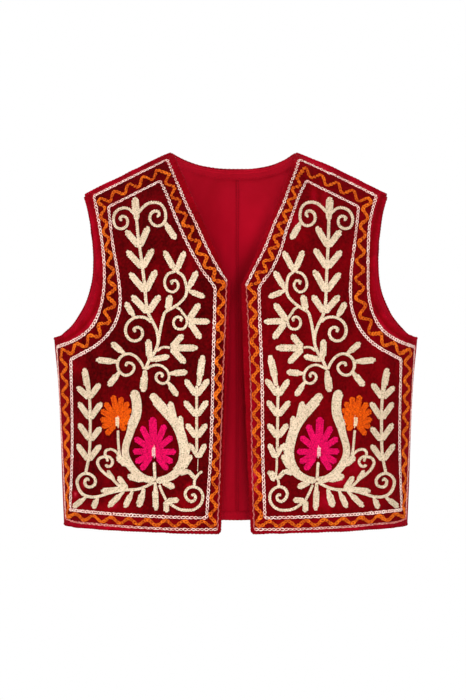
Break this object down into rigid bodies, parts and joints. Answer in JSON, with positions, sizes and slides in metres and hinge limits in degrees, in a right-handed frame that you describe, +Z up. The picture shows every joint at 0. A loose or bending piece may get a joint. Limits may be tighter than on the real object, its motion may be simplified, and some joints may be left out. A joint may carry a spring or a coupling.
{
  "type": "embroidered velvet folk waistcoat",
  "caption": "Short open-fronted sleeveless velvet waistcoat, hollow as worn, with embroidered fronts, plain back, V neck and wide armholes.",
  "frame": {"origin": "on the shoulder line, midway between the two neck points, where the wearer's shoulders hold the waistcoat", "axes": "+Z up, +X to the right as seen from the front, -Y out of the embroidered fronts"},
  "size_m": [0.454, 0.2222, 0.467],
  "materials": {
    "velvet": "dark red cotton velvet with a short nap",
    "lining": "plain crimson cotton",
    "cream_thread": "matt chain-stitched yarn",
    "orange_thread": "matt chain-stitched yarn",
    "pink_thread": "matt chain-stitched yarn"
  },
  "bodies": {
    "root": {"front_left": "velvet", "front_right": "velvet", "back": "velvet", "back_lining_left": "lining", "back_lining_right": "lining", "back_neck_facing": "lining", "back_hem_facing": "lining"}
  },
  "joints": []
}
